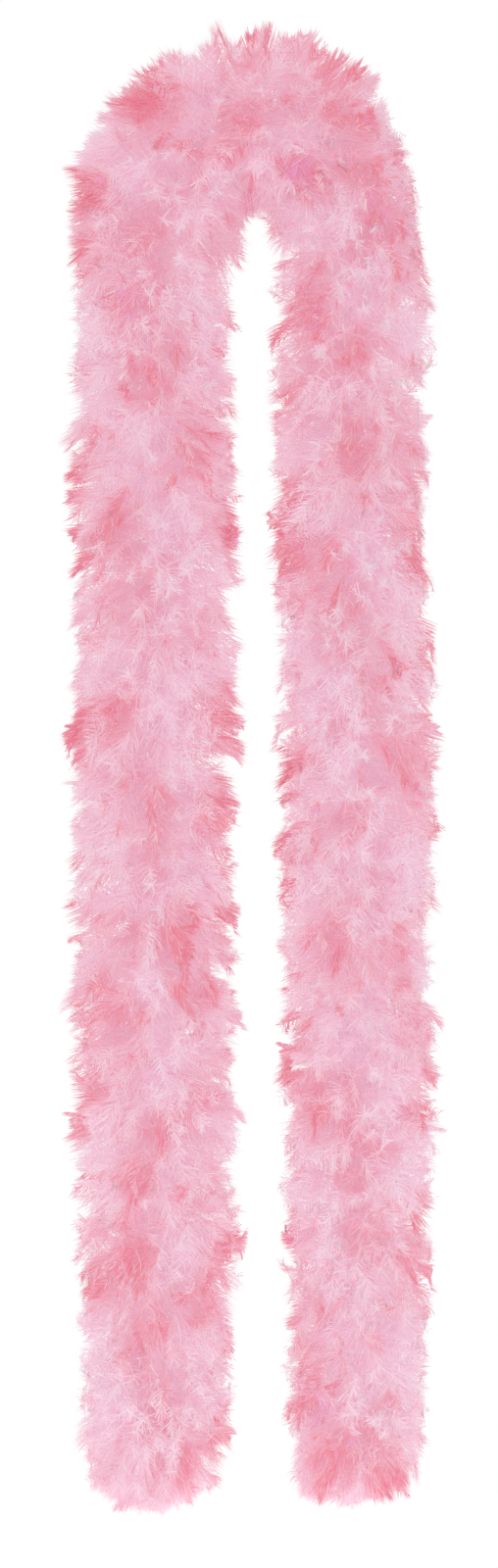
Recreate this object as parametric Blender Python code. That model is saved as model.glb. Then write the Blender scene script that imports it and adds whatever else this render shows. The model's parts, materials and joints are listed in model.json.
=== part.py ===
# Feather boa hanging over a peg: a soft core cord with whorls of feathers lashed along it by a
# binding thread, and an overhand knot under a whipping at each end.
# Metres, +Z up, front towards -Y. The origin is on the axis of the peg, in the middle of the bend.
# The boa bends anywhere along its cord. Here it bends at four pivots on each hanging leg, in turn
# sideways and forwards, and the cord and the thread are cut where they cross a pivot.

import math
import random

import bmesh
import bpy
from mathutils import Matrix, Vector

# overall sizes
BEND_RADIUS = 0.0625      # peg axis to the core cord where it goes over the peg
LEG_DROP = 0.780          # peg axis down to the end of the core cord, above the knot
FEATHER_REACH = 0.0525    # core cord to the feather tips
TUFT_REACH = 0.036        # the last whorl closes into a tuft, which is narrower
PEG_ROOM = 0.0100         # radius kept free around the peg axis
LEG_GAP = 0.0150          # least room kept free between the two legs

# cord, thread and the room between them
CORE_RADIUS = 0.0015
THREAD_RADIUS = 0.00035
CLEARANCE = 0.00035       # between core, thread and whorl
FLEX_GAP = 0.0010         # cord end to pivot, so that square ends never meet when it bends
BEND_STEP = 0.010         # between two points of the core cord over the peg
LEG_STEP = 0.028          # and along a leg, where it is nearly straight

# feather whorls
LEG_LINKS = 4
WHORLS_PER_LINK = 4
BEND_WHORLS = 5           # the middle one is at the top of the bend
PETALS = 9                # each one is a bundle of feathers side by side
NOTCH = 0.80              # reach between two petals, as a share of the petal's own
QUILL_THICK = 0.0040      # where the quills are lashed
DOWN_THICK = 0.0030       # half way out
RIM_THICK = 0.0010        # at the tips
MID_RING = 0.55           # where half way is, as a share of the reach
LEG_DROOP = 0.012         # how far the tips hang below the lashing
TUFT_DROOP = 0.046

# ends
BARE_END = 0.0160         # core cord left bare below the last whorl, for the whipping
WHIPPING_TURNS = 4
WHIPPING_START = 0.0050   # below the last whorl
KNOT_RING = 2.9           # the knot's ring and its tube, in core radii
KNOT_TUBE = 1.3
KNOT_OPEN = 0.26          # where the knot's two ends leave its ring, in radians of its curve
KNOT_STEPS = 30           # points around the knot's ring

SIDES = {"left": -1, "right": 1}

# The core cord's route from left to right, as (x, z), through the top of the bend.
ROUTE = [
    (-BEND_RADIUS - 0.0005, -LEG_DROP),
    (-BEND_RADIUS + 0.0010, -0.88 * LEG_DROP),
    (-BEND_RADIUS + 0.0000, -0.72 * LEG_DROP),
    (-BEND_RADIUS - 0.0020, -0.54 * LEG_DROP),
    (-BEND_RADIUS - 0.0015, -0.36 * LEG_DROP),
    (-BEND_RADIUS - 0.0005, -0.20 * LEG_DROP),
    (-BEND_RADIUS + 0.0000, -0.08 * LEG_DROP),
    (-BEND_RADIUS, 0.0),
    (-0.866 * BEND_RADIUS, 0.5 * BEND_RADIUS),
    (-0.5 * BEND_RADIUS, 0.866 * BEND_RADIUS),
    (0.0, BEND_RADIUS),
    (0.5 * BEND_RADIUS, 0.866 * BEND_RADIUS),
    (0.866 * BEND_RADIUS, 0.5 * BEND_RADIUS),
    (BEND_RADIUS, 0.0),
    (BEND_RADIUS + 0.0000, -0.08 * LEG_DROP),
    (BEND_RADIUS + 0.0005, -0.20 * LEG_DROP),
    (BEND_RADIUS + 0.0015, -0.36 * LEG_DROP),
    (BEND_RADIUS + 0.0020, -0.54 * LEG_DROP),
    (BEND_RADIUS + 0.0025, -0.72 * LEG_DROP),
    (BEND_RADIUS + 0.0020, -0.88 * LEG_DROP),
    (BEND_RADIUS + 0.0000, -LEG_DROP),
]
TOP_POINT = 10            # index of the top of the bend in ROUTE
CURVE_STEPS = 24          # points of the smooth curve for each stretch of the route

THREAD_STEPS = 8          # points in one turn of the binding thread
WHIPPING_STEPS = 10       # points in one turn of a whipping

THREAD_RING = CORE_RADIUS + CLEARANCE + 2 * THREAD_RADIUS   # the thread's centreline
BORE = THREAD_RING + THREAD_RADIUS + CLEARANCE
HALF_BEND = BEND_WHORLS // 2
LEG_WHORLS = LEG_LINKS * WHORLS_PER_LINK


def smooth(points, steps):
    """Catmull-Rom curve through the points, with the given number of steps between two of them."""
    points = [Vector(p) for p in points]
    ends = [2 * points[0] - points[1]] + points + [2 * points[-1] - points[-2]]
    curve = []
    for i in range(len(points) - 1):
        a, b, c, d = ends[i:i + 4]
        for k in range(steps):
            t = k / steps
            curve.append(0.5 * (2 * b + (c - a) * t + (2 * a - 5 * b + 4 * c - d) * t ** 2
                                + (3 * b - a - 3 * c + d) * t ** 3))
    return curve + [points[-1]]


class Cord:
    """The core cord's centreline, read by the length along it from the top of the bend."""

    def __init__(self):
        self.points = smooth([(x, 0.0, z) for x, z in ROUTE], CURVE_STEPS)
        self.lengths = [0.0]
        for a, b in zip(self.points, self.points[1:]):
            self.lengths.append(self.lengths[-1] + (b - a).length)
        top = self.lengths[TOP_POINT * CURVE_STEPS]
        self.lengths = [s - top for s in self.lengths]
        self.pitch = {
            "left": (-self.lengths[0] - BARE_END) / (HALF_BEND + LEG_WHORLS),
            "right": (self.lengths[-1] - BARE_END) / (HALF_BEND + LEG_WHORLS),
        }

    def at(self, s):
        """Point and direction at a length along the cord."""
        i = 0
        while i < len(self.points) - 2 and self.lengths[i + 1] < s:
            i += 1
        a, b = self.points[i], self.points[i + 1]
        share = (s - self.lengths[i]) / (self.lengths[i + 1] - self.lengths[i])
        return a.lerp(b, share), (b - a).normalized()

    def station(self, side, count):
        """Length along the cord of the given whorl, or of the place between two of them."""
        return SIDES[side] * count * self.pitch[side]

    def stretch(self, start, end, step):
        """Points from one length to another, at most a step apart."""
        count = max(2, math.ceil(abs(end - start) / step))
        return [self.at(start + (end - start) * i / count)[0] for i in range(count + 1)]

    def helix(self, start, end, radius, pitch, steps_per_turn):
        """Points of a thread wound around the cord, from one length to another."""
        turns = abs(end - start) / pitch
        count = math.ceil(turns * steps_per_turn)
        points = []
        for i in range(count + 1):
            s = start + (end - start) * i / count
            centre, along = self.at(s)
            out = Vector((0, 1, 0))
            angle = 2 * math.pi * s / pitch
            points.append(centre + radius * (math.cos(angle) * out + math.sin(angle) * along.cross(out)))
        return points


def material(name, colour, roughness):
    made = bpy.data.materials.new(name)
    made.use_nodes = True
    made.diffuse_color = (*colour, 1)
    shader = made.node_tree.nodes["Principled BSDF"]
    shader.inputs["Base Color"].default_value = (*colour, 1)
    shader.inputs["Roughness"].default_value = roughness
    shader.inputs["Metallic"].default_value = 0
    return made


def add(name, data, look, pivot):
    """An object for the mesh or curve, with its origin on the pivot that it turns about."""
    data.materials.append(look)
    made = bpy.data.objects.new(name, data)
    bpy.context.scene.collection.objects.link(made)
    made.parent = pivot
    return made


def pivot_empty(name, place, parent):
    made = bpy.data.objects.new(name, None)
    bpy.context.scene.collection.objects.link(made)
    made.empty_display_size = 0.02
    made.parent = parent
    made.location = place if parent is None else place - Vector(parent["place"])
    made["place"] = place
    return made


def tube(name, points, radius, resolution, look, pivot):
    """A round tube through the points, with closed ends."""
    curve = bpy.data.curves.new(name, "CURVE")
    curve.dimensions = "3D"
    curve.bevel_depth = radius
    curve.bevel_resolution = resolution
    curve.use_fill_caps = True
    spline = curve.splines.new("POLY")
    spline.points.add(len(points) - 1)
    place = Vector(pivot["place"])
    for slot, point in zip(spline.points, points):
        slot.co = (*(point - place), 1)
    return add(name, curve, look, pivot)


def whorl_mesh(name, reach, inner_reach, droop, seed):
    """A star of feather bundles around the cord, thinning out to its rim."""
    rng = random.Random(seed)
    bm = bmesh.new()
    angles = [math.pi * i / PETALS for i in range(2 * PETALS)]

    def ring(radius, height):
        return [bm.verts.new((radius * math.cos(a), radius * math.sin(a), height)) for a in angles]

    rims = [[], []]
    for i, angle in enumerate(angles):
        tip = reach * rng.uniform(0.95, 1.05) * (NOTCH if i % 2 else 1)
        height = -droop * tip / reach + rng.uniform(-0.002, 0.002)
        x, y = min(tip * math.cos(angle), inner_reach), tip * math.sin(angle)
        for rim, half in zip(rims, (RIM_THICK / 2, -RIM_THICK / 2)):
            rim.append(bm.verts.new((x, y, height + half)))
    middle = -droop * MID_RING ** 2
    upper = [ring(BORE, QUILL_THICK / 2), ring(MID_RING * reach, middle + DOWN_THICK / 2), rims[0]]
    lower = [rims[1], ring(MID_RING * reach, middle - DOWN_THICK / 2), ring(BORE, -QUILL_THICK / 2)]

    # the lower side is split along the same diagonals as the upper side, so that they never cross
    rings = upper + lower
    for n, (a, b) in enumerate(zip(rings, rings[1:] + rings[:1])):
        for i in range(len(angles)):
            j = (i + 1) % len(angles)
            if n < len(upper):
                halves = (a[i], a[j], b[j]), (a[i], b[j], b[i])
            else:
                halves = (a[i], a[j], b[i]), (a[j], b[j], b[i])
            for half in halves:
                bm.faces.new(half)
    bmesh.ops.recalc_face_normals(bm, faces=bm.faces)
    mesh = bpy.data.meshes.new(name)
    bm.to_mesh(mesh)
    bm.free()
    return mesh


def whorl(name, cord, side, count, look, pivot):
    """One whorl, square to the cord, with its droop pointing away from the top of the bend."""
    place, along = cord.at(cord.station(side, count))
    away = SIDES[side] * along
    inward = SIDES[side] * Vector((away.z, 0, -away.x))
    turn = Matrix((inward, (-away).cross(inward), -away)).transposed()
    on_bend = count <= HALF_BEND
    last = count == HALF_BEND + LEG_WHORLS
    inner_reach = BEND_RADIUS - PEG_ROOM if on_bend else abs(place.x) - LEG_GAP / 2
    reach = TUFT_REACH if last else FEATHER_REACH
    droop = TUFT_DROOP if last else 0 if on_bend else LEG_DROOP
    mesh = whorl_mesh(name, reach, inner_reach, droop, seed=100 * SIDES[side] + count)
    made = add(name, mesh, look, pivot)
    made.location = place - Vector(pivot["place"])
    made.rotation_euler = turn.to_euler()
    return made


def knot(name, end, look, pivot):
    """An overhand knot: an opened trefoil whose two ends lead up to the cord and down to the tail."""
    ring, thick, r = KNOT_RING * CORE_RADIUS, KNOT_TUBE * CORE_RADIUS, CORE_RADIUS
    out = ring + thick
    centre = end - Vector((0, 0, CLEARANCE + 9.0 * r))
    route = [(0, 0, 9.0 * r), (0, 0, 8.2 * r), (0.1 * out, 0, 7.2 * r), (0.75 * out, 0.50 * out, 4.7 * r),
             (1.08 * out, 0.50 * out, 2.2 * r)]
    for i in range(KNOT_STEPS + 1):
        t = KNOT_OPEN + (2 * math.pi - 2 * KNOT_OPEN) * i / KNOT_STEPS
        radius = ring + thick * math.cos(3 * t)
        route.append((radius * math.cos(2 * t), radius * math.sin(2 * t), -thick * math.sin(3 * t)))
    route += [(1.08 * out, -0.50 * out, -2.2 * r), (0.75 * out, -0.50 * out, -4.7 * r),
              (0.1 * out, 0, -7.2 * r), (0, 0, -10.5 * r)]
    return tube(name, [centre + Vector(p) for p in route], CORE_RADIUS, 2, look, pivot)


def bend(cord, looks, peg):
    """The stretch over the peg, which holds it still."""
    start = cord.station("left", HALF_BEND + 0.5) + FLEX_GAP
    end = cord.station("right", HALF_BEND + 0.5) - FLEX_GAP
    tube("core_cord_bend", cord.stretch(start, end, BEND_STEP), CORE_RADIUS, 2, looks["cord"], peg)
    turns = cord.helix(start, end, THREAD_RING, cord.pitch["left"], THREAD_STEPS)
    tube("binding_thread_bend", turns, THREAD_RADIUS, 1, looks["thread"], peg)
    whorl("feather_whorl_top", cord, "right", 0, looks["down"], peg)
    for side in SIDES:
        for count in range(1, HALF_BEND + 1):
            whorl(f"feather_whorl_{side}_bend_{count}", cord, side, count, looks["down"], peg)


def leg_link(cord, looks, side, link, above):
    """One stretch of a leg, from its pivot to the next one or to the end, parented to its pivot."""
    sign = SIDES[side]
    first = HALF_BEND + (link - 1) * WHORLS_PER_LINK + 1
    last = first + WHORLS_PER_LINK - 1
    top = cord.station(side, first - 0.5)
    pivot = pivot_empty(f"{side}_pivot_{link}", cord.at(top)[0], above)
    for count in range(first, last + 1):
        whorl(f"feather_whorl_{side}_{count - HALF_BEND:02d}", cord, side, count, looks["down"], pivot)

    start = top + sign * FLEX_GAP
    cord_end = thread_end = cord.station(side, last + 0.5) - sign * FLEX_GAP
    if link == LEG_LINKS:
        cord_end = cord.station(side, last) + sign * BARE_END
        thread_end = cord.station(side, last) + sign * QUILL_THICK / 2
    points = cord.stretch(start, cord_end, LEG_STEP)
    tube(f"core_cord_{side}_{link}", points, CORE_RADIUS, 2, looks["cord"], pivot)
    turns = cord.helix(start, thread_end, THREAD_RING, cord.pitch[side], THREAD_STEPS)
    tube(f"binding_thread_{side}_{link}", turns, THREAD_RADIUS, 1, looks["thread"], pivot)
    return pivot


def leg_end(cord, looks, side, pivot):
    """The whipping and the knot below the tuft."""
    tuft = cord.station(side, HALF_BEND + LEG_WHORLS)
    wrap_pitch = 2 * (THREAD_RADIUS + CLEARANCE)
    start = tuft + SIDES[side] * WHIPPING_START
    end = start + SIDES[side] * WHIPPING_TURNS * wrap_pitch
    turns = cord.helix(start, end, THREAD_RING, wrap_pitch, WHIPPING_STEPS)
    tube(f"end_whipping_{side}", turns, THREAD_RADIUS, 1, looks["thread"], pivot)
    cord_end = cord.at(tuft + SIDES[side] * BARE_END)[0]
    knot(f"end_knot_{side}", cord_end, looks["cord"], pivot)


def main():
    for old in list(bpy.data.objects):
        bpy.data.objects.remove(old, do_unlink=True)
    looks = {
        "down": material("pink_down", (0.85, 0.47, 0.57), 0.95),
        "cord": material("pink_cotton_cord", (0.76, 0.33, 0.42), 0.85),
        "thread": material("pink_thread", (0.70, 0.25, 0.34), 0.60),
    }
    cord = Cord()
    peg = pivot_empty("peg_axis", Vector((0, 0, 0)), None)
    bend(cord, looks, peg)
    for side in SIDES:
        pivot = peg
        for link in range(1, LEG_LINKS + 1):
            pivot = leg_link(cord, looks, side, link, pivot)
        leg_end(cord, looks, side, pivot)


main()
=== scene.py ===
import json
import math

import bpy
import numpy as np
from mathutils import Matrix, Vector

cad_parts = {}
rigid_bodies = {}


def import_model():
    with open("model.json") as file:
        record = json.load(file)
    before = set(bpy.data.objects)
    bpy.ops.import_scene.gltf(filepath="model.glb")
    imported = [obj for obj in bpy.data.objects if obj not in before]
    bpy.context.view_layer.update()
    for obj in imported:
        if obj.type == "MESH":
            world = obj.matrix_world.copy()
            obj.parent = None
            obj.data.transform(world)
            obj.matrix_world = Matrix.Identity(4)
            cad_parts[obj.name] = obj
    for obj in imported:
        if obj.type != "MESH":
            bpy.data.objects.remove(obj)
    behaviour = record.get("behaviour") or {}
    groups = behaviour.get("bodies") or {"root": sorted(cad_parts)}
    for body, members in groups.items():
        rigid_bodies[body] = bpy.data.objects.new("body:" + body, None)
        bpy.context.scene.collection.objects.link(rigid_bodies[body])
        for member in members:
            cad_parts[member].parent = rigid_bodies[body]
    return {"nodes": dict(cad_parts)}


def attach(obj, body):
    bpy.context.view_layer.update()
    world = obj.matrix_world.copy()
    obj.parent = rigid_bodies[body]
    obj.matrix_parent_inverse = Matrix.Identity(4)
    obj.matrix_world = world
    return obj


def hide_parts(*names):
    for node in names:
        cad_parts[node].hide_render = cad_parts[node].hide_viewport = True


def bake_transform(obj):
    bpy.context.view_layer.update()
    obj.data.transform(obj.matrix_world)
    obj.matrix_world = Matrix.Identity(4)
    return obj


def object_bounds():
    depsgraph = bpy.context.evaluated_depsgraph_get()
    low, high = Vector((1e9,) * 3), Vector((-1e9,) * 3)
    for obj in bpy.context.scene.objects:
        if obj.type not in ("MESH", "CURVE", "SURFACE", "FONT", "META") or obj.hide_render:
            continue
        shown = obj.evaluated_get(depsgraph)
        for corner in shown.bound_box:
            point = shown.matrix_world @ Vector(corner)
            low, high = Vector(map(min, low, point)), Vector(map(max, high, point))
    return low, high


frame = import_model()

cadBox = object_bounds()
scene = bpy.context.scene
print("frame loaded,", len(frame["nodes"]), "solids")


# camera, first because the cords are placed for it

shot = {
    "lens": 85,
    "distance": 2.33,
    "aimAt": (-0.0040, -0.3570),       # x and z of the middle of the view
}
camera = bpy.data.objects.new("camera", bpy.data.cameras.new("camera"))
camera.data.lens = shot["lens"]
camera.location = (shot["aimAt"][0], -shot["distance"], shot["aimAt"][1])
camera.rotation_euler = (math.radians(90), 0, 0)
scene.collection.objects.link(camera)
scene.camera = camera


# the line of the core cord, from the left end over the peg to the right end

boa = {
    "bendRadius": 0.0625,
    "legDrop": 0.780,
    "bareEnd": 0.0160,                 # cord below the last whorl
    "bendWhorls": 2,                   # on each side of the top one
    "legWhorls": 16,
    "whorlsPerLink": 4,
}
bend, drop = boa["bendRadius"], boa["legDrop"]
route = [
    (-bend - 0.0005, -drop),
    (-bend + 0.0010, -0.88 * drop),
    (-bend, -0.72 * drop),
    (-bend - 0.0020, -0.54 * drop),
    (-bend - 0.0015, -0.36 * drop),
    (-bend - 0.0005, -0.20 * drop),
    (-bend, -0.08 * drop),
    (-bend, 0.0),
    (-0.866 * bend, 0.5 * bend),
    (-0.5 * bend, 0.866 * bend),
    (0.0, bend),
    (0.5 * bend, 0.866 * bend),
    (0.866 * bend, 0.5 * bend),
    (bend, 0.0),
    (bend, -0.08 * drop),
    (bend + 0.0005, -0.20 * drop),
    (bend + 0.0015, -0.36 * drop),
    (bend + 0.0020, -0.54 * drop),
    (bend + 0.0025, -0.72 * drop),
    (bend + 0.0020, -0.88 * drop),
    (bend, -drop),
]
topPoint = 10


def smoothLine(points, steps):
    points = np.array(points, float)
    ends = np.vstack([2 * points[0] - points[1], points, 2 * points[-1] - points[-2]])
    t = (np.arange(steps) / steps)[:, None]
    parts = []
    for i in range(len(points) - 1):
        a, b, c, d = ends[i:i + 4]
        parts.append(0.5 * (2 * b + (c - a) * t + (2 * a - 5 * b + 4 * c - d) * t ** 2
                            + (3 * b - a - 3 * c + d) * t ** 3))
    return np.vstack(parts + [points[-1:]])


lineSteps = 24
flat = smoothLine(route, lineSteps)
line = np.column_stack([flat[:, 0], np.zeros(len(flat)), flat[:, 1]])
along = np.concatenate([[0], np.cumsum(np.linalg.norm(np.diff(line, axis=0), axis=1))])
along -= along[topPoint * lineSteps]           # lengths are measured from the top of the bend
halfLength = {"left": -along[0], "right": along[-1]}
sideSign = {"left": -1, "right": 1}
whorlsPerSide = boa["bendWhorls"] + boa["legWhorls"]
pitch = {side: (halfLength[side] - boa["bareEnd"]) / whorlsPerSide for side in sideSign}


def cordAt(s):
    # points on the cord and the cord's direction there
    s = np.asarray(s, float)
    point = np.stack([np.interp(s, along, line[:, k]) for k in range(3)], -1)
    ahead = np.stack([np.interp(s + 0.001, along, line[:, k]) for k in range(3)], -1)
    behind = np.stack([np.interp(s - 0.001, along, line[:, k]) for k in range(3)], -1)
    way = ahead - behind
    return point, way / np.linalg.norm(way, axis=-1, keepdims=True)


def unit(v):
    return v / np.maximum(np.linalg.norm(v, axis=-1, keepdims=True), 1e-9)


def smoothStep(low, high, x):
    t = np.clip((x - low) / (high - low), 0, 1)
    return t * t * (3 - 2 * t)


# which body each place along the cord belongs to, and the pivots between them

def bodyOf(side, count):
    if count <= boa["bendWhorls"]:
        return "bend"
    return f"{side}_{(count - boa['bendWhorls'] - 1) // boa['whorlsPerLink'] + 1}"


def pivotLength(side, link):
    count = boa["bendWhorls"] + (link - 1) * boa["whorlsPerLink"] + 0.5
    return sideSign[side] * count * pitch[side]


legLinks = boa["legWhorls"] // boa["whorlsPerLink"]


# node groups and materials

def group(name, inputs, outputs):
    tree = bpy.data.node_groups.new(name, "ShaderNodeTree")
    for label, kind, value in inputs:
        socket = tree.interface.new_socket(label, in_out="INPUT", socket_type=kind)
        if value is not None:
            socket.default_value = value
    for label, kind in outputs:
        tree.interface.new_socket(label, in_out="OUTPUT", socket_type=kind)
    return tree, tree.nodes.new("NodeGroupInput"), tree.nodes.new("NodeGroupOutput")


def addNode(tree, kind, **settings):
    made = tree.nodes.new(kind)
    for key, value in settings.items():
        setattr(made, key, value)
    return made


def maths(tree, what, a, b=None, clamp=False):
    made = addNode(tree, "ShaderNodeMath", operation=what, use_clamp=clamp)
    for socket, value in zip(made.inputs, (a, b)):
        if isinstance(value, (int, float)):
            socket.default_value = value
        elif value is not None:
            tree.links.new(value, socket)
    return made.outputs[0]


def mixColour(tree, factor, a, b, blend="MIX"):
    made = addNode(tree, "ShaderNodeMix", data_type="RGBA", blend_type=blend)
    for socket, value in ((made.inputs[0], factor), (made.inputs[6], a), (made.inputs[7], b)):
        if isinstance(value, (int, float)):
            socket.default_value = value
        elif isinstance(value, tuple):
            socket.default_value = (*value, 1)
        else:
            tree.links.new(value, socket)
    return made.outputs[2]


def unevenDyeGroup():
    # dye that took unevenly: lighter and deeper patches over a colour
    tree, start, end = group("unevenDye", [
        ("Vector", "NodeSocketVector", None),
        ("Color", "NodeSocketColor", None),
        ("Deep Color", "NodeSocketColor", None),
        ("Scale", "NodeSocketFloat", 10.0),
        ("Amount", "NodeSocketFloat", 0.4),
    ], [("Color", "NodeSocketColor")])
    noise = addNode(tree, "ShaderNodeTexNoise")
    noise.inputs["Detail"].default_value = 3
    tree.links.new(start.outputs["Vector"], noise.inputs["Vector"])
    tree.links.new(start.outputs["Scale"], noise.inputs["Scale"])
    patch = addNode(tree, "ShaderNodeMapRange", interpolation_type="SMOOTHSTEP")
    patch.inputs["From Min"].default_value = 0.35
    patch.inputs["From Max"].default_value = 0.68
    tree.links.new(noise.outputs["Fac"], patch.inputs["Value"])
    factor = maths(tree, "MULTIPLY", patch.outputs["Result"], start.outputs["Amount"], clamp=True)
    colour = mixColour(tree, factor, start.outputs["Color"], start.outputs["Deep Color"])
    tree.links.new(colour, end.inputs["Color"])
    return tree


def fibreGroup():
    # fine fibres lying along one way, as height and as a light and dark streak
    tree, start, end = group("fibre", [
        ("Vector", "NodeSocketVector", None),
        ("Scale", "NodeSocketFloat", 100.0),
        ("Streak", "NodeSocketFloat", 0.2),
    ], [("Height", "NodeSocketFloat"), ("Shade", "NodeSocketFloat")])
    noise = addNode(tree, "ShaderNodeTexNoise")
    noise.inputs["Detail"].default_value = 2
    tree.links.new(start.outputs["Vector"], noise.inputs["Vector"])
    tree.links.new(start.outputs["Scale"], noise.inputs["Scale"])
    centred = maths(tree, "SUBTRACT", noise.outputs["Fac"], 0.5)
    shade = maths(tree, "MULTIPLY", centred, start.outputs["Streak"])
    tree.links.new(noise.outputs["Fac"], end.inputs["Height"])
    tree.links.new(maths(tree, "ADD", shade, 1.0), end.inputs["Shade"])
    return tree


dyeGroup = unevenDyeGroup()
fibre = fibreGroup()


def place(tree, what, **values):
    made = addNode(tree, "ShaderNodeGroup", node_tree=what)
    for key, value in values.items():
        socket = made.inputs[key.replace("_", " ")]
        if hasattr(value, "node"):
            tree.links.new(value, socket)
        else:
            socket.default_value = (*value, 1) if isinstance(value, tuple) else value
    return made


def newMaterial(name, roughness, sheen, sheenTint):
    made = bpy.data.materials.new(name)
    made.use_nodes = True
    shader = made.node_tree.nodes["Principled BSDF"]
    shader.inputs["Roughness"].default_value = roughness
    shader.inputs["Specular IOR Level"].default_value = 0.2
    shader.inputs["Sheen Weight"].default_value = sheen
    shader.inputs["Sheen Roughness"].default_value = 0.6
    shader.inputs["Sheen Tint"].default_value = (*sheenTint, 1)
    return made, made.node_tree, shader


def scaled(tree, vector, scale):
    made = addNode(tree, "ShaderNodeMapping")
    made.inputs["Scale"].default_value = scale
    tree.links.new(vector, made.inputs["Vector"])
    return made.outputs["Vector"]


# Every feather is laid on one of eight rows of its map: along the row runs the barb, from the
# shaft out, and up the row runs the shaft. Each row is one dye lot.
dyeLots = {
    "pale": (0.915, 0.775, 0.845),
    "rose": (0.915, 0.695, 0.785),
    "coral": (0.865, 0.315, 0.405),
    "magenta": (0.86, 0.38, 0.64),
    "share": [0.00, 0.08, 0.20, 0.36, 0.55, 0.78, 1.00, 0.80],   # of coral in each lot
    "above": [0.34, 0.47, 0.57, 0.66, 0.74, 0.83, 1.02],         # where one lot gives way to the next
    "patch": 0.021,                    # size of a patch of one dye
    "featherVary": 0.10,               # on top of the patch, from feather to feather
    "barbVary": 0.12,                  # and from barb to barb
    "tipOften": (0.15, 0.55),          # share of feathers with deeper tips, and more of them at the sides
    "tipDepth": (0.12, 0.50),
    "tipFrom": (0.60, 0.95),           # along the shaft
    "paintedGlow": 0.185,                     # painted glow: emission that lifts the shade in the down, standing in for light that comes through the thin barbs
    "paintedGlowTint": (0.81, 0.45, 0.58),    # and the colour of that painted glow, as light takes on the way
    "paintedGlowShare": 0.35,
    "cordPaintedGlow": 0.30,                  # the same painted glow, in the cord and thread under the down, so that in shade they look pink and not dark
}
lots = len(dyeLots["share"])


def downMaterial():
    made, tree, shader = newMaterial("dyedDown", 0.90, 0.12, (1.0, 0.86, 0.90))
    uv = addNode(tree, "ShaderNodeUVMap", uv_map="OFBake")
    split = addNode(tree, "ShaderNodeSeparateXYZ")
    tree.links.new(uv.outputs["UV"], split.inputs["Vector"])
    outward = split.outputs["X"]
    upShaft = maths(tree, "FRACT", maths(tree, "MULTIPLY", split.outputs["Y"], lots))

    lot = addNode(tree, "ShaderNodeValToRGB")
    lot.color_ramp.interpolation = "CONSTANT"
    steps = lot.color_ramp.elements
    steps[0].position = 0
    steps[1].position = 1 / lots
    for i in range(2, lots):
        steps.new(i / lots)
    for step, share in zip(steps, dyeLots["share"]):
        step.color = (share, share, share, 1)
    tree.links.new(split.outputs["Y"], lot.inputs["Fac"])

    tipward = addNode(tree, "ShaderNodeMapRange", interpolation_type="SMOOTHSTEP")
    tipward.inputs["From Min"].default_value = 0.10
    tipward.inputs["From Max"].default_value = 0.80
    reach = maths(tree, "ADD", upShaft, maths(tree, "MULTIPLY", outward, 0.50))
    tree.links.new(reach, tipward.inputs["Value"])
    coral = maths(tree, "MULTIPLY", lot.outputs["Color"], tipward.outputs["Result"])

    streakMap = scaled(tree, uv.outputs["UV"], (2.0, 260.0, 1.0))
    fibres = place(tree, fibre, Vector=streakMap, Scale=1.0, Streak=0.45)
    coralStreak = maths(tree, "MULTIPLY", coral, fibres.outputs["Shade"], clamp=True)
    isMagenta = maths(tree, "GREATER_THAN", split.outputs["Y"], (lots - 1) / lots)
    tipColour = mixColour(tree, isMagenta, dyeLots["coral"], dyeLots["magenta"])
    paleMap = scaled(tree, uv.outputs["UV"], (3.0, 24.0, 1.0))
    pale = place(tree, dyeGroup, Vector=paleMap, Color=dyeLots["pale"], Deep_Color=dyeLots["rose"],
                 Scale=1.0, Amount=0.7)
    colour = mixColour(tree, coralStreak, pale.outputs["Color"], tipColour)
    tree.links.new(colour, shader.inputs["Base Color"])
    # painted glow: the emission colour, partly the down's colour and partly a pink tint, fills the shade
    # between the barbs
    paintedGlowColour = mixColour(tree, dyeLots["paintedGlowShare"], colour, dyeLots["paintedGlowTint"])
    tree.links.new(paintedGlowColour, shader.inputs["Emission Color"])
    shader.inputs["Emission Strength"].default_value = dyeLots["paintedGlow"]
    return made


def fibreMaterial(name, colour, deep, scale, grain):
    made, tree, shader = newMaterial(name, 0.80, 0.30, (1.0, 0.80, 0.85))
    spot = addNode(tree, "ShaderNodeTexCoord").outputs["Object"]
    dyed = place(tree, dyeGroup, Vector=spot, Color=colour, Deep_Color=deep, Scale=scale, Amount=0.8)
    fibres = place(tree, fibre, Vector=scaled(tree, spot, (1.0, 1.0, 0.15)), Scale=grain, Streak=0.5)
    shaded = mixColour(tree, 1.0, dyed.outputs["Color"], fibres.outputs["Shade"], "MULTIPLY")
    tree.links.new(shaded, shader.inputs["Base Color"])
    # painted glow: the cord and thread give off their own colour, so that their shade under the down is
    # lifted
    tree.links.new(shaded, shader.inputs["Emission Color"])
    shader.inputs["Emission Strength"].default_value = dyeLots["cordPaintedGlow"]
    bump = addNode(tree, "ShaderNodeBump")
    bump.inputs["Strength"].default_value = 0.6
    bump.inputs["Distance"].default_value = 0.0002
    tree.links.new(fibres.outputs["Height"], bump.inputs["Height"])
    tree.links.new(bump.outputs["Normal"], shader.inputs["Normal"])
    return made


down = downMaterial()
cotton = fibreMaterial("dyedCotton", (0.91, 0.64, 0.73), (0.88, 0.52, 0.62), 60.0, 2600.0)
thread = fibreMaterial("waxedThread", (0.90, 0.58, 0.68), (0.86, 0.46, 0.57), 90.0, 3500.0)
print("materials made")


# feathers

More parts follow.
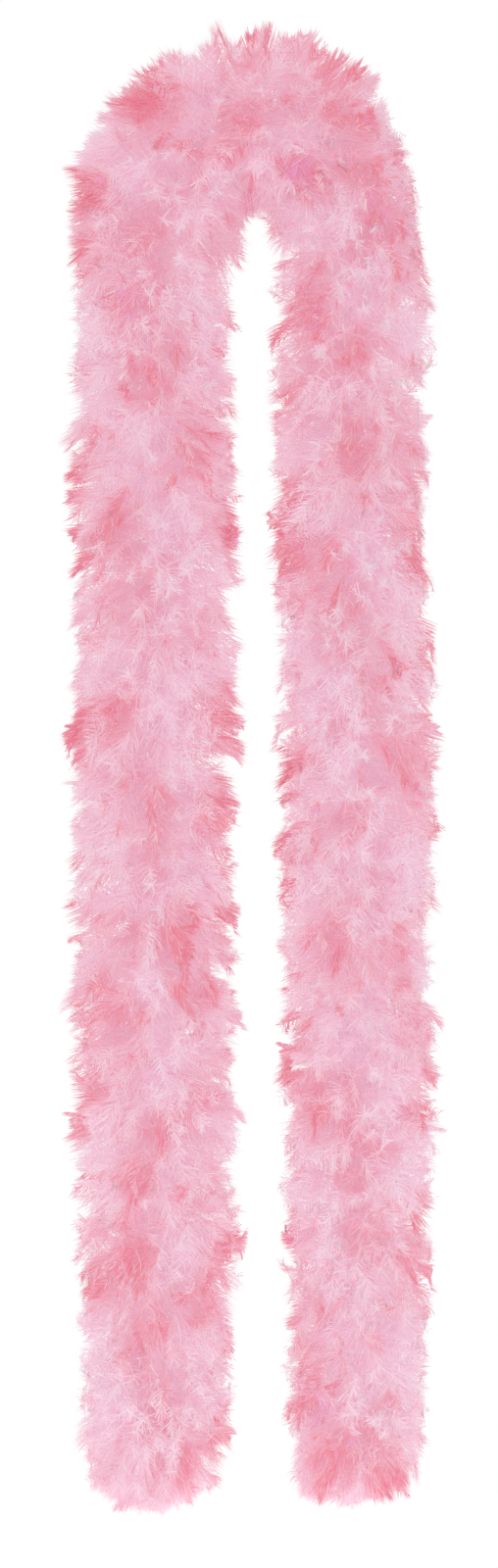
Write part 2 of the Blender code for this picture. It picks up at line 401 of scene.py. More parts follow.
feather = {
    "perWhorl": 96,
    "shortPerWhorl": 54,               # short ones that fill in around the cord
    "bendExtra": 1.35,                 # the bend opens the boa out, so more are needed there
    "endExtra": 1.7,                   # and the last whorl closes the end
    "quillRing": 0.0022,               # from the middle of the cord to the quills
    "turnStep": 2.39996,               # radians round the cord from one feather to the next
    "turnVary": 0.25,
    "shortTurn": 0.35,                 # how far the short ones gather in front and behind
    "bendTurn": 0.5,                   # how far they all move out of the hollow of the bend
    "length": (0.050, 0.064),
    "shortLength": (0.010, 0.034),
    "shortLean": 0.5,                  # radians, spread
    "lean": (6, 15),                   # degrees from square to the cord at the quill, mean and spread
    "bow": (15, 21),                   # further degrees by the tip
    "sway": 26,                        # degrees sideways by the tip
    "bendBow": 0.5,                    # share of the bow in the bend
    "bendLonger": 0.10,                # towards the hollow of the bend
    "endSpread": 0.70,                 # share of the pitch that the end whorl takes up
    "endLean": 62,                     # further degrees for the last of the end whorl
    "endShorter": 0.12,
    "shaftNodes": 9,
    "shaftRadius": 0.00028,
    "shaftTip": 0.15,                  # share of the radius left at the tip
    "barbs": 46,                       # on each side of the shaft
    "clump": 3,                        # barbs that stick together
    "clumpDraw": (0.35, 0.85),         # how far they are drawn together half way and at the point
    "bareQuill": 0.16,                 # share of the shaft without barbs
    "shortBarb": 0.8,                  # barb length on a short feather
    "curl": 0.30,                      # how far a barb bends along its shaft
    "droop": 0.15,                     # and how far it hangs
}
# soft feathers have loose barbs, and sleek ones have barbs that lie together
vane = {
    "soft": {"barb": (0.015, 0.023), "angle": (70, 34), "loose": 0.60, "tipShare": 0.60,
             "width": 0.00060, "proud": -0.10},
    "sleek": {"barb": (0.017, 0.025), "angle": (38, 14), "loose": 0.14, "tipShare": 0.85,
              "width": 0.00066, "proud": 0.60},
}
# where the dye is this deep, this share of the feathers is sleek
sleekChoice = {"deepFrom": 0.62, "share": 0.50}
# a few feathers stand proud and end in a point, where they face up on the bend and sideways on the legs
pointedChoice = {
    "upFrom": 0.72,
    "sideFrom": 0.6,
    "bendShare": 0.18,
    "legShare": 0.06,
    "bendProud": (0.4, 1.3),           # in steps of the outline's ragged
    "legProud": (0.1, 0.4),
}
barbPlaces = np.array([0.0, 0.48, 1.0])        # from the shaft out
barbWidths = np.array([0.60, 1.0])             # the third place is the point

# How far the down stands from the cord. Each row is a length from the top of the bend in metres,
# then the outer and the inner reach in millimetres.
outline = {
    "left": [(0.00, 58, 68), (0.06, 60, 66), (0.09, 60, 61), (0.12, 54, 54), (0.16, 54, 49),
             (0.27, 57, 54), (0.34, 52, 55), (0.41, 56, 57), (0.49, 53, 53), (0.60, 56, 53),
             (0.75, 53, 53), (0.86, 47, 46)],
    "right": [(0.00, 58, 68), (0.04, 50, 67), (0.07, 40, 63), (0.10, 41, 55), (0.16, 49, 54),
              (0.30, 44, 56), (0.38, 47, 51), (0.46, 52, 50), (0.60, 48, 51), (0.64, 53, 50),
              (0.75, 46, 45), (0.86, 44, 43)],
    "frontShare": 0.84,                # of the reach, to the front and the back
    "free": 0.70,                      # share of the reach within which nothing is pressed in
    "inset": 0.0022,                   # taken off the reach everywhere
    "uneven": 0.0032,                  # height of the bulges
    "patch": 0.009,                    # size of a bulge
    "bulgeAt": 0.045,                  # from the cord to where the bulges are read
    "ragged": 0.0054,                  # from feather to feather
    "stand": 0.9,                      # how far the points of the outer barbs turn straight out
    "sag": 0.22,                       # and how far they sink
    "standFrom": (0.50, 0.90),         # shares of the reach between which that sets in
    "endShare": 1.20,                  # of the reach, below the last of the cord
    "roundEnd": 0.020,                 # from the last of the cord back to the middle of the round end
    "pegs": 221,                       # places along the cord that the down is measured from
}


def bundleNoise(place, seed, size):
    # smooth random value from 0 to 1 that changes over about the given size
    rng = np.random.default_rng(seed)
    total = np.zeros(len(place))
    for k in range(6):
        way = unit(rng.normal(size=3))
        total += np.sin(place @ way * rng.uniform(1.4, 3.2) / size + rng.uniform(0, 2 * math.pi))
    return 0.5 + 0.5 * np.tanh(total / 2.2)


def shaftLines(base, out, away, across, length, lean, bow, sway):
    # points and directions along every shaft, bending from square to the cord to away along it
    nodes = feather["shaftNodes"]
    t = np.linspace(0, 1, nodes)[None, :]
    tilt = lean[:, None] + bow[:, None] * t
    side = sway[:, None] * t
    way = unit((np.cos(tilt) * np.cos(side))[..., None] * out[:, None]
               + np.sin(tilt)[..., None] * away[:, None]
               + (np.cos(tilt) * np.sin(side))[..., None] * across[:, None])
    step = (length / (nodes - 1))[:, None, None]
    later = base[:, None] + np.cumsum(way[:, :-1] * step, axis=1)
    return np.concatenate([base[:, None], later], axis=1), way


def onShaft(values, t):
    # values along the shafts, read between nodes
    at = np.clip(t, 0, 1) * (values.shape[1] - 1)
    low = np.minimum(at.astype(int), values.shape[1] - 2)
    share = (at - low)[..., None]
    rows = np.arange(values.shape[0])[:, None]
    return values[rows, low] * (1 - share) + values[rows, low + 1] * share


def vaneValues(key, sleek):
    # one row for each feather
    return np.where(sleek[:, None], vane["sleek"][key], vane["soft"][key])


def clumpPoints(middle, sideways):
    # barbs stick together at their points, most on feathers that stand at the sides
    n, m = middle.shape[:2]
    clump = np.minimum(np.arange(m) // feather["clump"], m // feather["clump"] - 1)
    for k, draw in enumerate(feather["clumpDraw"], 1):
        sums = np.zeros((n, clump[-1] + 1, 3))
        np.add.at(sums, (slice(None), clump), middle[:, :, k])
        shared = (sums / np.bincount(clump)[None, :, None])[:, clump]
        middle[:, :, k] += (draw * sideways ** 2)[:, None, None] * (shared - middle[:, :, k])


def barbMap(lot):
    # on the map a barb is a strip one barb high
    n, m = lot.shape
    low = (lot + 0.02 + 0.95 * (np.arange(m)[None] / m)) / lots
    high = low + 0.95 / m / lots
    column = 0.05 + 0.93 * barbPlaces
    uv = np.zeros((n, m, 5, 2))
    uv[..., 0:2, 0] = column[:2]
    uv[..., 2:4, 0] = column[:2]
    uv[..., 4, 0] = column[2]
    uv[..., 0:2, 1] = low[..., None]
    uv[..., 2:4, 1] = high[..., None]
    uv[..., 4, 1] = (low + high) / 2
    return uv.reshape(-1, 2)


def barbMesh(rng, points, way, across, roll, lot, sleek, isShort, sideways, pointed):
    # one side of the vane at a time: a ribbon for each barb
    n, m = len(points), feather["barbs"]
    verts, uvs = [], []
    # some feathers are dyed deeper towards the tip, most of all those that stand at the sides
    often = dyeLots["tipOften"][0] + dyeLots["tipOften"][1] * sideways ** 4
    tipDye = np.where(rng.uniform(size=n) < often, rng.uniform(*dyeLots["tipDepth"], n), 0)
    angles, barbRange = vaneValues("angle", sleek), vaneValues("barb", sleek)
    loose, tipShare = vaneValues("loose", sleek)[:, 0], vaneValues("tipShare", sleek)
    width = vaneValues("width", sleek)[:, 0]
    for side in (-1, 1):
        slot = (np.arange(m) + rng.uniform(0, 1, (n, m))) / m
        t = feather["bareQuill"] + (1 - feather["bareQuill"]) * slot ** 0.75
        start = onShaft(points, t)
        tangent = unit(onShaft(way, t))
        lateral = unit(across[:, None] - (across[:, None] * tangent).sum(-1, keepdims=True) * tangent)
        normal = np.cross(tangent, lateral)
        turn = roll[:, None, None]
        lateral, normal = np.cos(turn) * lateral + np.sin(turn) * normal, \
            np.cos(turn) * normal - np.sin(turn) * lateral
        angle = np.radians(angles[:, :1] * (1 - t) + angles[:, 1:] * t)
        angle = angle * rng.uniform(0.8, 1.2, (n, m))
        lift = loose[:, None] * rng.normal(size=(n, m))
        first = unit(np.cos(angle)[..., None] * tangent + side * np.sin(angle)[..., None] * lateral
                     + lift[..., None] * normal)
        longest = barbRange[:, 0] + (barbRange[:, 1] - barbRange[:, 0]) * rng.uniform(0, 1, n)
        grown = smoothStep(-0.05, 0.30, slot) * (1 - (1 - tipShare) * slot ** 2)
        longest = longest * np.where(isShort, feather["shortBarb"], 1.0)
        length = longest[:, None] * grown * rng.uniform(0.7, 1.2, (n, m))
        curl = feather["curl"] * tangent + 0.35 * loose[:, None, None] * rng.normal(size=(n, m, 3))
        curl[..., 2] -= feather["droop"]
        flat = unit(np.cross(first, normal + 0.8 * loose[:, None, None] * rng.normal(size=(n, m, 3))))
        w = barbPlaces[None, None, :, None]
        middle = start[..., None, :] + length[..., None, None] * (
            w * first[..., None, :] + w ** 2 * curl[..., None, :])
        clumpPoints(middle, sideways)
        half = 0.5 * width[:, None, None] * barbWidths[None, None] * rng.uniform(0.7, 1.3, (n, m, 1))
        spread = half[..., None] * flat[..., None, :]
        wide, point = middle[:, :, :2], middle[:, :, 2:]
        verts.append(np.concatenate([wide - spread, wide + spread, point], axis=2).reshape(-1, 3))

        # a soft barb takes the dye of the place where its point lies, a sleek one that of its feather
        patch = dyePatch(middle[:, :, 2].reshape(-1, 3)).reshape(n, m)
        mixed = patch + dyeLots["featherVary"] * (rng.uniform(size=(n, 1)) - 0.5)
        mixed = mixed + dyeLots["barbVary"] * (rng.uniform(size=(n, m)) - 0.5)
        mixed += tipDye[:, None] * smoothStep(*dyeLots["tipFrom"], slot)
        own = np.searchsorted(dyeLots["above"], mixed)
        streaked = np.clip(lot[:, None] + np.rint(rng.normal(0, 1.7, (n, m))), 1, lots - 2).astype(int)
        ownLot = np.where(sleek[:, None], streaked, np.where(isShort[:, None], np.minimum(own, 3), own))
        uvs.append(barbMap(ownLot))
    verts, uvs = np.concatenate(verts), np.concatenate(uvs)
    count = len(verts) // 5
    loops = ((np.arange(count) * 5)[:, None] + np.array([0, 1, 3, 2, 1, 4, 3])).reshape(-1)
    sizes = np.tile([4, 3], count)
    feathers = np.tile(np.repeat(np.arange(n), m * 5), 2)
    proud = vaneValues("proud", sleek)[:, 0] + 0.8 * rng.uniform(-1, 1, n)
    stray = 0.9 * rng.uniform(size=count) ** 5 - 0.2       # a few barbs stand out of the vane
    ragged = np.clip(proud[feathers] + np.repeat(stray, 5), -1, 1) + pointed[feathers]
    return verts, uvs, loops, sizes, feathers, ragged


# deeper patches in front: across, up and radius in millimetres, and how deep
dyeSpots = [
    (-71, 69, 19, 0.9), (-9, 52, 16, 1.0), (64, 60, 17, 1.0), (70, 22, 14, 0.9), (34, 18, 12, 1.45),
    (-71, -17, 17, 0.9), (-110, 12, 13, 0.9), (68, -91, 17, 0.85), (-72, -110, 16, 0.95),
    (-44, -85, 12, 0.75), (62, -153, 20, 0.95), (106, -147, 12, 0.8), (102, -199, 12, 0.85),
    (16, -218, 11, 0.9), (-89, -209, 17, 0.8), (-112, -267, 11, 0.8), (-92, -320, 19, 0.85),
    (-56, -375, 14, 0.8), (-18, -388, 13, 0.9), (104, -369, 14, 0.8), (58, -385, 14, 0.8),
    (-86, -456, 16, 0.85), (43, -465, 17, 0.9), (-86, -508, 15, 0.85), (-30, -493, 12, 0.8),
    (-77, -607, 15, 0.9), (-83, -653, 20, 0.95), (-25, -684, 16, 0.85), (68, -641, 17, 0.85),
    (104, -659, 12, 0.8), (-74, -727, 13, 0.8), (28, -727, 14, 0.9), (25, -752, 11, 1.45),
    (46, -783, 20, 1.0), (86, -795, 14, 0.9), (85, -6, 12, 1.45), (-87, -64, 10, 1.4),
    (33, -74, 10, 1.4), (104, 40, 12, 0.85),
]
# the even noise is weaker in front, and it is weaker in the hollow of the bend as painted light: the dye
# is paler there to offset the hollow's shade
evenDyeAndHollowLight = {"hollow": 0.45, "hollowAt": -0.010, "hollowSize": 0.028, "front": 0.26, "frontFrom": 0.015}


def dyePatch(place):
    # even noise all round, and the deeper patches in front of it
    noise = bundleNoise(place, 7, dyeLots["patch"])
    spot = np.zeros(len(place))
    for across, up, radius, depth in dyeSpots:
        apart = (place[:, 0] - 0.001 * across) ** 2 + (place[:, 2] - 0.001 * up) ** 2
        spot = np.maximum(spot, depth * np.exp(-0.5 * apart / (0.001 * radius) ** 2))
    front = smoothStep(-evenDyeAndHollowLight["frontFrom"], evenDyeAndHollowLight["frontFrom"], -place[:, 1])
    # painted light: less deep dye in the hollow of the bend, to make up for the shade there
    hollow = place[:, 0] ** 2 + (place[:, 2] - evenDyeAndHollowLight["hollowAt"]) ** 2
    noise *= 1 - evenDyeAndHollowLight["hollow"] * np.exp(-hollow / evenDyeAndHollowLight["hollowSize"] ** 2)
    return np.maximum(front * spot, (1 - evenDyeAndHollowLight["front"] * front) * noise)


# the down is stroked into the boa's outline, measured from the nearest place on the cord
pegs = np.linspace(outline["roundEnd"] - halfLength["left"], halfLength["right"] - outline["roundEnd"],
                   outline["pegs"])
pegPoint, pegWay = cordAt(pegs)
pegStep = pegs[1] - pegs[0]
pegReach = {"bend": 3, "leg": 7}       # pegs looked at each way: few in the bend, so none across it
standing = []
for k in (1, 2):
    rows = [(-row[0], row[k]) for row in outline["left"][:0:-1]]
    rows += [(row[0], row[k]) for row in outline["right"]]
    standing.append(np.interp(pegs, [row[0] for row in rows], [0.001 * row[1] for row in rows]))


def pressIn(verts, station, ragged, reach):
    # each place far out is drawn in towards the cord, at the nearest of the pegs about its feather
    first = np.searchsorted(pegs, station)
    best, gap = None, np.full(len(verts), 9.0)
    for k in range(-reach, reach + 1):
        i = np.clip(first + k, 0, len(pegs) - 1)
        far = ((verts - pegPoint[i]) ** 2).sum(-1)
        best = i if best is None else np.where(far < gap, i, best)
        gap = np.minimum(gap, far)
    slide = ((verts - pegPoint[best]) * pegWay[best]).sum(-1)
    slide = np.clip(slide, np.where(best == 0, 0, -pegStep / 2),
                    np.where(best == len(pegs) - 1, 0, pegStep / 2))
    centre = pegPoint[best] + slide[:, None] * pegWay[best]
    at = pegs[best] + slide
    offset = verts - centre
    far = np.linalg.norm(offset, axis=1)
    facing = offset[:, 2] * pegWay[best][:, 0] - offset[:, 0] * pegWay[best][:, 2]
    share = 0.5 + 0.5 * np.clip(facing / np.maximum(far, 1e-6), -1, 1)
    size = share * np.interp(at, pegs, standing[0]) + (1 - share) * np.interp(at, pegs, standing[1])
    endward = np.abs((offset * pegWay[best]).sum(-1)) / np.maximum(far, 1e-6)
    size *= (endward ** 4 + (1 - endward ** 2) ** 2) ** -0.25      # blunter than a ball at the ends
    size *= 1 + (outline["endShare"] - 1) * endward ** 4
    size *= 1 - (1 - outline["frontShare"]) * (offset[:, 1] / np.maximum(far, 1e-6)) ** 2
    bulge = bundleNoise(centre + outline["bulgeAt"] * unit(offset), 21, outline["patch"])
    size += outline["uneven"] * (2 * bulge - 1)
    size += outline["ragged"] * ragged - outline["inset"]
    low = outline["free"] * size
    room = size - low
    pressed = low + room * np.tanh((far - low) / room)
    share = np.where(far > low, pressed / np.maximum(far, 1e-6), 1.0)
    return centre + offset * share[:, None], centre, size


def standOut(loose, held, centre, size):
    # the point of a barb near the outside stands straight out of the down
    loose, held = loose.reshape(-1, 5, 3), held.reshape(-1, 5, 3)
    heart = centre.reshape(-1, 5, 3)[:, 1]
    middle = 0.5 * (held[:, 1] + held[:, 3])
    free = loose[:, 4] - 0.5 * (loose[:, 1] + loose[:, 3])
    limit = size.reshape(-1, 5)[:, 4]
    up = middle - heart
    far = np.linalg.norm(up, axis=1)
    up = unit(up)
    near = smoothStep(*outline["standFrom"], far / limit)[:, None]
    way = unit(free) + outline["stand"] * near * up
    way[:, 2] -= outline["sag"] * near[:, 0]
    way = unit(way)
    room = np.maximum(limit - far, 0.001) / np.maximum((way * up).sum(-1), 0.2)
    length = np.minimum(np.linalg.norm(free, axis=1), room)
    reach = middle + length[:, None] * way - heart
    reach *= np.minimum(1, limit / np.linalg.norm(reach, axis=1))[:, None]
    held[:, 4] = heart + reach
    return held.reshape(-1, 3)


def shaftMesh(points, way, across, lot):
    # a three-sided tapering tube for every shaft
    n, nodes = points.shape[:2]
    lateral = unit(across[:, None] - (across[:, None] * way).sum(-1, keepdims=True) * way)
    normal = np.cross(way, lateral)
    radius = feather["shaftRadius"] * np.linspace(1, feather["shaftTip"], nodes)[None, :, None, None]
    turns = (np.arange(3) * 2 * math.pi / 3)[None, None, :, None]
    ring = np.cos(turns) * lateral[:, :, None] + np.sin(turns) * normal[:, :, None]
    verts = points[:, :, None] + radius * ring
    uv = np.zeros((n, nodes, 3, 2))
    uv[..., 0] = np.array([0.005, 0.02, 0.035])
    uv[..., 1] = (lot[:, None, None] + 0.02 + 0.95 * np.linspace(0, 1, nodes)[None, :, None]) / lots
    start = (np.arange(n) * nodes * 3)[:, None, None] + (np.arange(nodes - 1) * 3)[None, :, None]
    k = np.arange(3)
    quads = np.stack([start + k, start + (k + 1) % 3, start + 3 + (k + 1) % 3, start + 3 + k], -1)
    feathers = np.repeat(np.arange(n), nodes * 3)
    return (verts.reshape(-1, 3), uv.reshape(-1, 2), quads.reshape(-1), np.full(n * (nodes - 1) * 3, 4),
            feathers, np.zeros(len(feathers)))


def meshFrom(name, parts, stations, reach, material):
    # one mesh from the barbs and the shafts, stroked into the outline
    verts = np.concatenate([p[0] for p in parts])
    loose, barbs = verts, len(parts[0][0])
    verts, centre, size = pressIn(verts, stations[np.concatenate([p[4] for p in parts])],
                                  np.concatenate([p[5] for p in parts]), reach)
    verts[:barbs] = standOut(loose[:barbs], verts[:barbs], centre[:barbs], size[:barbs])
    uvs = np.concatenate([p[1] for p in parts])
    counts = np.cumsum([0] + [len(p[0]) for p in parts])
    loops = np.concatenate([p[2] + counts[i] for i, p in enumerate(parts)])
    sizes = np.concatenate([p[3] for p in parts])
    mesh = bpy.data.meshes.new(name)
    mesh.vertices.add(len(verts))
    mesh.vertices.foreach_set("co", verts.astype(np.float32).ravel())
    mesh.loops.add(len(loops))
    mesh.loops.foreach_set("vertex_index", loops.astype(np.int32))
    mesh.polygons.add(len(sizes))
    mesh.polygons.foreach_set("loop_start", np.concatenate([[0], np.cumsum(sizes)[:-1]]).astype(np.int32))
    layer = mesh.uv_layers.new(name="OFBake")
    layer.data.foreach_set("uv", uvs[loops].astype(np.float32).ravel())
    mesh.update(calc_edges=True)
    mesh.validate()
    mesh.shade_smooth()
    mesh.materials.append(material)
    made = bpy.data.objects.new(name, mesh)
    scene.collection.objects.link(made)
    return made


def plume(name, side, count):
    # all the feathers lashed in one whorl
    rng = np.random.default_rng(1000 + 100 * (side == "left") + count)
    sign = sideSign[side]
    isEnd = count == whorlsPerSide
    inBend = count <= boa["bendWhorls"]
    more = feather["endExtra"] if isEnd else feather["bendExtra"] if inBend else 1.0
    long = int(more * feather["perWhorl"])
    n = long + int(more * feather["shortPerWhorl"])
    isShort = np.arange(n) >= long
    spot = np.where(isShort, (np.arange(n) - long + 0.5) / (n - long), (np.arange(n) + 0.5) / long)
    s = (sign * count + (spot - 0.5)) * pitch[side]
    if isEnd:
        s = sign * (count - 0.5 + feather["endSpread"] * spot) * pitch[side]
    base, forward = cordAt(s)
    away = sign * forward
    if count == 0:
        away = np.where(rng.uniform(size=(n, 1)) < 0.5, 1, -1) * forward
    front = np.array([0.0, -1.0, 0.0])
    inward = np.stack([away[:, 2], np.zeros(n), -away[:, 0]], -1) * sign
    turn = feather["turnStep"] * np.arange(n) + rng.uniform(0, 2 * math.pi)
    turn = (turn + rng.normal(0, feather["turnVary"], n)) % (2 * math.pi)
    turn = np.where(isShort, turn + feather["shortTurn"] * np.sin(2 * turn), turn)
    if inBend:
        turn = turn + feather["bendTurn"] * np.sin(turn)
    out = np.cos(turn)[:, None] * inward + np.sin(turn)[:, None] * front
    across = np.cross(away, out)
    base = base + out * feather["quillRing"]

    lean = np.radians(rng.normal(*feather["lean"], n))
    bow = np.radians(rng.normal(*feather["bow"], n))
    sway = np.radians(rng.normal(0, feather["sway"], n))
    length = rng.uniform(*feather["length"], n)
    if inBend:
        bow *= feather["bendBow"]
        length *= 1 + feather["bendLonger"] * np.cos(turn)
    if isEnd:
        late = smoothStep(0.2, 1.0, spot)
        lean += np.radians(feather["endLean"]) * late * rng.uniform(0.5, 1.0, n)
        length *= 1 - feather["endShorter"] * late
    roll = rng.uniform(0, math.pi, n)
    length = np.where(isShort, rng.uniform(*feather["shortLength"], n), length)
    lean = np.where(isShort, rng.normal(0, feather["shortLean"], n), lean)

    points, way = shaftLines(base, out, away, across, length, lean, bow, sway)
    deep = dyePatch(points[:, -1]) > sleekChoice["deepFrom"]
    upward = inBend & (out[:, 2] > pointedChoice["upFrom"])
    sideways = np.abs(np.cos(turn))
    often = np.where(upward, pointedChoice["bendShare"], 0.0 if inBend else pointedChoice["legShare"])
    isPointed = (rng.uniform(size=n) < often) & ~isShort & (sideways > pointedChoice["sideFrom"])
    pointed = isPointed * np.where(upward, rng.uniform(*pointedChoice["bendProud"], n),
                                   rng.uniform(*pointedChoice["legProud"], n))
    sleek = (deep & (rng.uniform(size=n) < sleekChoice["share"]) & ~isShort) | isPointed
    lot = np.where(sleek & deep, rng.integers(4, lots - 1, n), rng.integers(0, 3, n))
    barbs = barbMesh(rng, points, way, across, roll, lot, sleek, isShort, sideways, pointed)
    shafts = shaftMesh(points, way, across, lot)
    return meshFrom(name, [barbs, shafts], s, pegReach["bend" if inBend else "leg"], down)


def acrossPivot(piece):
    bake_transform(piece)


def putOnBody(piece, side, count):
    # whorls next to a pivot are left off every body with their transform baked, and the others ride on
    # their link
    position = count - boa["bendWhorls"]
    for link in range(1, legLinks + 1):
        before = (link - 1) * boa["whorlsPerLink"]
        if position in (before, before + 1):
            acrossPivot(piece)
            return
    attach(piece, bodyOf(side, count))


def whorlNode(side, count):
    if count == 0:
        return "feather_whorl_top"
    if count <= boa["bendWhorls"]:
        return f"feather_whorl_{side}_bend_{count}"
    return f"feather_whorl_{side}_{count - boa['bendWhorls']:02d}"


for side in sideSign:
    for count in range(0 if side == "right" else 1, whorlsPerSide + 1):
        node = whorlNode(side, count)
        piece = plume(node.replace("feather_whorl", "plume"), side, count)
        putOnBody(piece, side, count)
        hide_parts(node)
plumeFaces = sum(len(o.data.polygons) for o in scene.objects if o.name.startswith("plume"))
print("plumes made,", plumeFaces, "faces")


# the core cord, twisted from three strands, and what is wound round it

cordSizes = {
    "coreRadius": 0.0015,
    "coreLay": 0.0090,                 # length of one turn of the strands
    "coreStep": 0.0011,
    "coreSides": 15,
    "threadRadius": 0.00035,
    "threadRing": 0.00255,             # from the middle of the cord to the middle of the thread
    "threadLay": 0.0016,
    "threadStep": 0.0014,
    "threadSides": 6,
    "threadTail": 0.002,               # thread below the last whorl
    "stepsPerTurn": 40,                # of the thread round the cord
    "pathPoints": 80,
    "clearance": 0.00035,
}
whipping = {"turns": 4, "start": 0.0050, "stepsPerTurn": 24, "step": 0.0005, "sides": 8}
# ring and tube are in cord radii
knotSizes = {"ring": 2.9, "tube": 1.3, "open": 0.26, "steps": 72, "step": 0.0006}


def spread(points, step):
    # the same line with points an even step apart
    points = np.array(points, float)
    length = np.concatenate([[0], np.cumsum(np.linalg.norm(np.diff(points, axis=0), axis=1))])
    at = np.linspace(0, length[-1], max(2, int(round(length[-1] / step)) + 1))
    return np.stack([np.interp(at, length, points[:, k]) for k in range(3)], -1), at


def twistedTube(name, points, radius, step, strands, lay, sides, material, phase=0.0):
    # strands laid round each other along a line, as one closed skin
    points, at = spread(points, step)
    way = unit(np.gradient(points, axis=0))
    across = unit(np.cross(way[0], (0.31, 0.93, 0.17)))
    frames = []
    for w in way:
        across = unit(across - np.dot(across, w) * w)
        frames.append((across, np.cross(w, across)))
    frames = np.array(frames)
    turn = np.arange(sides) * 2 * math.pi / sides
    within = (turn + math.pi / strands) % (2 * math.pi / strands) - math.pi / strands
    strand, offset = 0.52 * radius, 0.48 * radius
    inside = strand ** 2 - (offset * np.sin(within)) ** 2
    lobe = offset * np.cos(within) + np.sqrt(np.maximum(inside, 1e-12))
    angle = turn[None] + 2 * math.pi * at[:, None] / lay + phase
    ring = np.cos(angle)[..., None] * frames[:, None, 0] + np.sin(angle)[..., None] * frames[:, None, 1]
    verts = points[:, None] + lobe[None, :, None] * ring
    n = len(points)
    faces = []
    for i in range(n - 1):
        for j in range(sides):
            k = (j + 1) % sides
            faces.append((i * sides + j, i * sides + k, (i + 1) * sides + k, (i + 1) * sides + j))
    faces.append(tuple(range(sides - 1, -1, -1)))
    faces.append(tuple((n - 1) * sides + j for j in range(sides)))
    mesh = bpy.data.meshes.new(name)
    mesh.from_pydata(verts.reshape(-1, 3).tolist(), [], faces)
    mesh.update()
    mesh.shade_smooth()
    mesh.materials.append(material)
    made = bpy.data.objects.new(name, mesh)
    scene.collection.objects.link(made)
    return made


def wound(start, end, ring, turnLength, stepsPerTurn):
    # points of a thread wound round the cord between two lengths along it
    count = max(8, int(abs(end - start) / turnLength * stepsPerTurn))
    s = np.linspace(start, end, count + 1)
    centre, way = cordAt(s)
    front = np.tile([0.0, 1.0, 0.0], (len(s), 1))
    angle = (2 * math.pi * s / turnLength)[:, None]
    return centre + ring * (np.cos(angle) * front + np.sin(angle) * np.cross(way, front))


def linkMiddle(side, link):
    # half way along a link, where one piece of cord meets the next
    if link == 0:
        return 0.0
    return pivotLength(side, link) + sideSign[side] * 0.5 * boa["whorlsPerLink"] * pitch[side]


for side, sign in sideSign.items():
    core = cordSizes["coreRadius"]
    end = sign * (whorlsPerSide * pitch[side] + boa["bareEnd"])
    for link in range(1, legLinks + 2):
        # each piece crosses one pivot, and the last hangs straight on the last link
        first = linkMiddle(side, link - 1)
        last = linkMiddle(side, link) if link <= legLinks else end
        node = "bend" if link == 1 else f"{side}_{link - 1}"
        path = cordAt(np.linspace(first, last, cordSizes["pathPoints"]))[0]
        lay = sign * cordSizes["coreLay"]
        cordPiece = twistedTube(f"core_{side}_{link}", path, core, cordSizes["coreStep"], 3, lay,
                                cordSizes["coreSides"], cotton, 2 * math.pi * abs(first) / lay)
        tail = sign * (whorlsPerSide * pitch[side] + cordSizes["threadTail"])
        turns = wound(first, last if link <= legLinks else tail, cordSizes["threadRing"], pitch[side],
                      cordSizes["stepsPerTurn"])
        threadPiece = twistedTube(f"lashing_{side}_{link}", turns, cordSizes["threadRadius"],
                                  cordSizes["threadStep"], 2, cordSizes["threadLay"],
                                  cordSizes["threadSides"], thread)
        for piece, kind in ((cordPiece, "core_cord"), (threadPiece, "binding_thread")):
            if link <= legLinks:
                acrossPivot(piece)
            else:
                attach(piece, f"{side}_{legLinks}")
            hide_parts(f"{kind}_{node}")

    # whipping below the last whorl
    start = sign * (whorlsPerSide * pitch[side] + whipping["start"])
    wrap = 2 * (cordSizes["threadRadius"] + cordSizes["clearance"])
    turns = wound(start, start + sign * whipping["turns"] * wrap, cordSizes["threadRing"], wrap,
                  whipping["stepsPerTurn"])
    wrapPiece = twistedTube(f"whipping_{side}", turns, cordSizes["threadRadius"], whipping["step"], 2,
                            cordSizes["threadLay"], whipping["sides"], thread)
    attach(wrapPiece, f"{side}_{legLinks}")
    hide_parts(f"end_whipping_{side}")
print("core cord, lashing and whippings made")


# overhand knots, an opened trefoil with its two leads

for side in sideSign:
    r = cordSizes["coreRadius"]
    ring, thick = knotSizes["ring"] * r, knotSizes["tube"] * r
    out = ring + thick
    cordEnd = cordAt(sideSign[side] * (whorlsPerSide * pitch[side] + boa["bareEnd"]))[0]
    centre = cordEnd - np.array([0, 0, cordSizes["clearance"] + 9.0 * r])
    knotLine = [(0, 0, 9.0 * r), (0, 0, 8.2 * r), (0.1 * out, 0, 7.2 * r),
                (0.75 * out, 0.50 * out, 4.7 * r), (1.08 * out, 0.50 * out, 2.2 * r)]
    for t in np.linspace(knotSizes["open"], 2 * math.pi - knotSizes["open"], knotSizes["steps"]):
        radius = ring + thick * math.cos(3 * t)
        knotLine.append((radius * math.cos(2 * t), radius * math.sin(2 * t), -thick * math.sin(3 * t)))
    knotLine += [(1.08 * out, -0.50 * out, -2.2 * r), (0.75 * out, -0.50 * out, -4.7 * r),
                 (0.1 * out, 0, -7.2 * r), (0, 0, -10.5 * r)]
    knotPiece = twistedTube(f"knot_{side}", centre + np.array(knotLine), r, knotSizes["step"], 3,
                            cordSizes["coreLay"], cordSizes["coreSides"], cotton)
    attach(knotPiece, f"{side}_{legLinks}")
    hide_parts(f"end_knot_{side}")
print("knots made")


# floor, world and lights

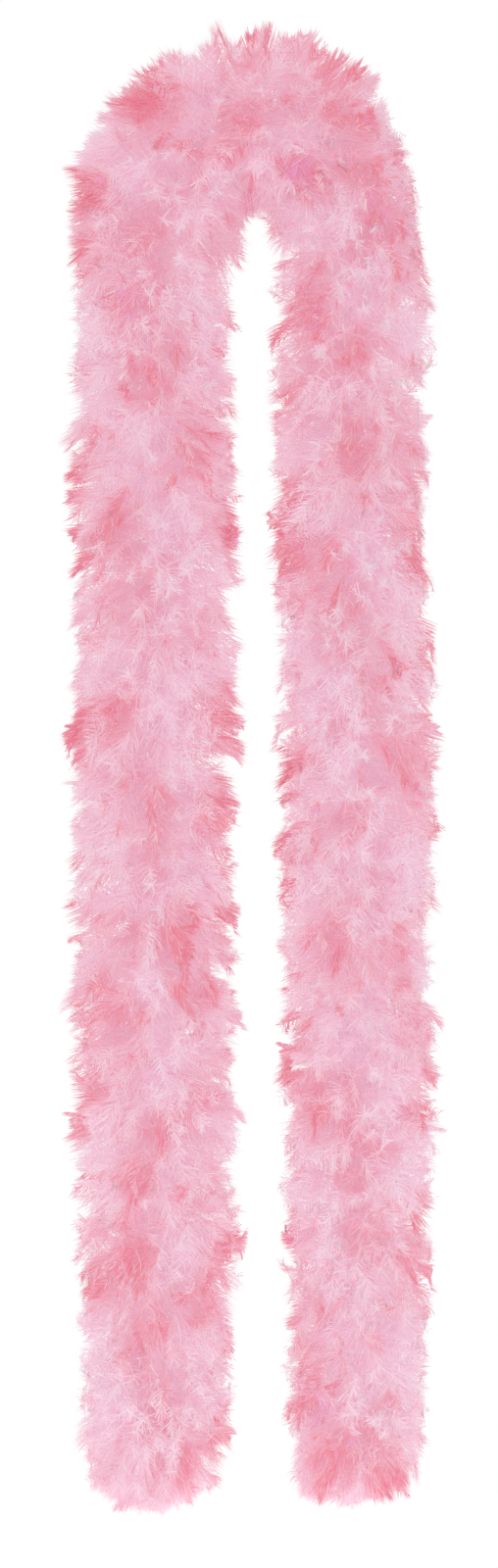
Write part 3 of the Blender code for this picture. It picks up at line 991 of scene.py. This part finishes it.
stage = {
    "floorDrop": 0.16,                 # below the boa
    "floorRadius": 0.90,
    "floorLift": 0.37,                 # glow, so that the floor is as pale as the backdrop
    "world": 0.62,                     # light from all round
    "backdrop": 1.0,                   # and how bright that looks from the camera
}
floorMesh = bpy.data.meshes.new("floor")
angles = np.linspace(0, 2 * math.pi, 96, endpoint=False)
floorZ = cadBox[0][2] - stage["floorDrop"]
rim = [(stage["floorRadius"] * math.cos(a), stage["floorRadius"] * math.sin(a), floorZ) for a in angles]
floorMesh.from_pydata(rim, [], [list(range(len(rim)))])
floor = bpy.data.objects.new("floor", floorMesh)
scene.collection.objects.link(floor)
floorLook = bpy.data.materials.new("paleFloor")
floorLook.use_nodes = True
paint = floorLook.node_tree.nodes["Principled BSDF"].inputs
paint["Base Color"].default_value = (0.93, 0.93, 0.93, 1)
paint["Roughness"].default_value = 0.8
paint["Emission Color"].default_value = (1, 1, 1, 1)
paint["Emission Strength"].default_value = stage["floorLift"]
floorMesh.materials.append(floorLook)

world = bpy.data.worlds.new("studio")
world.use_nodes = True
sky = world.node_tree
sky.nodes["Background"].inputs["Color"].default_value = (1, 1, 1, 1)
sky.nodes["Background"].inputs["Strength"].default_value = stage["world"]
backdrop = addNode(sky, "ShaderNodeBackground")
backdrop.inputs["Color"].default_value = (1, 1, 1, 1)
backdrop.inputs["Strength"].default_value = stage["backdrop"]
seen = addNode(sky, "ShaderNodeMixShader")
sky.links.new(addNode(sky, "ShaderNodeLightPath").outputs["Is Camera Ray"], seen.inputs[0])
sky.links.new(sky.nodes["Background"].outputs["Background"], seen.inputs[1])
sky.links.new(backdrop.outputs["Background"], seen.inputs[2])
sky.links.new(seen.outputs[0], sky.nodes["World Output"].inputs["Surface"])
scene.world = world
scene.view_settings.view_transform = "Standard"


def softLight(name, place, aim, size, power):
    data = bpy.data.lights.new(name, "AREA")
    data.size = size
    data.energy = power
    lamp = bpy.data.objects.new(name, data)
    lamp.location = place
    lamp.rotation_euler = (Vector(aim) - Vector(place)).to_track_quat("-Z", "Y").to_euler()
    scene.collection.objects.link(lamp)


softLight("keyLight", (-1.4, -2.2, 0.9), (0, 0, -0.35), 1.6, 9.6)
softLight("fillLight", (1.8, -1.8, -0.2), (0, 0, -0.35), 1.6, 4.8)
softLight("backLight", (0.6, 2.2, 0.8), (0, 0, -0.35), 1.6, 6.4)
print("stage and lights made")
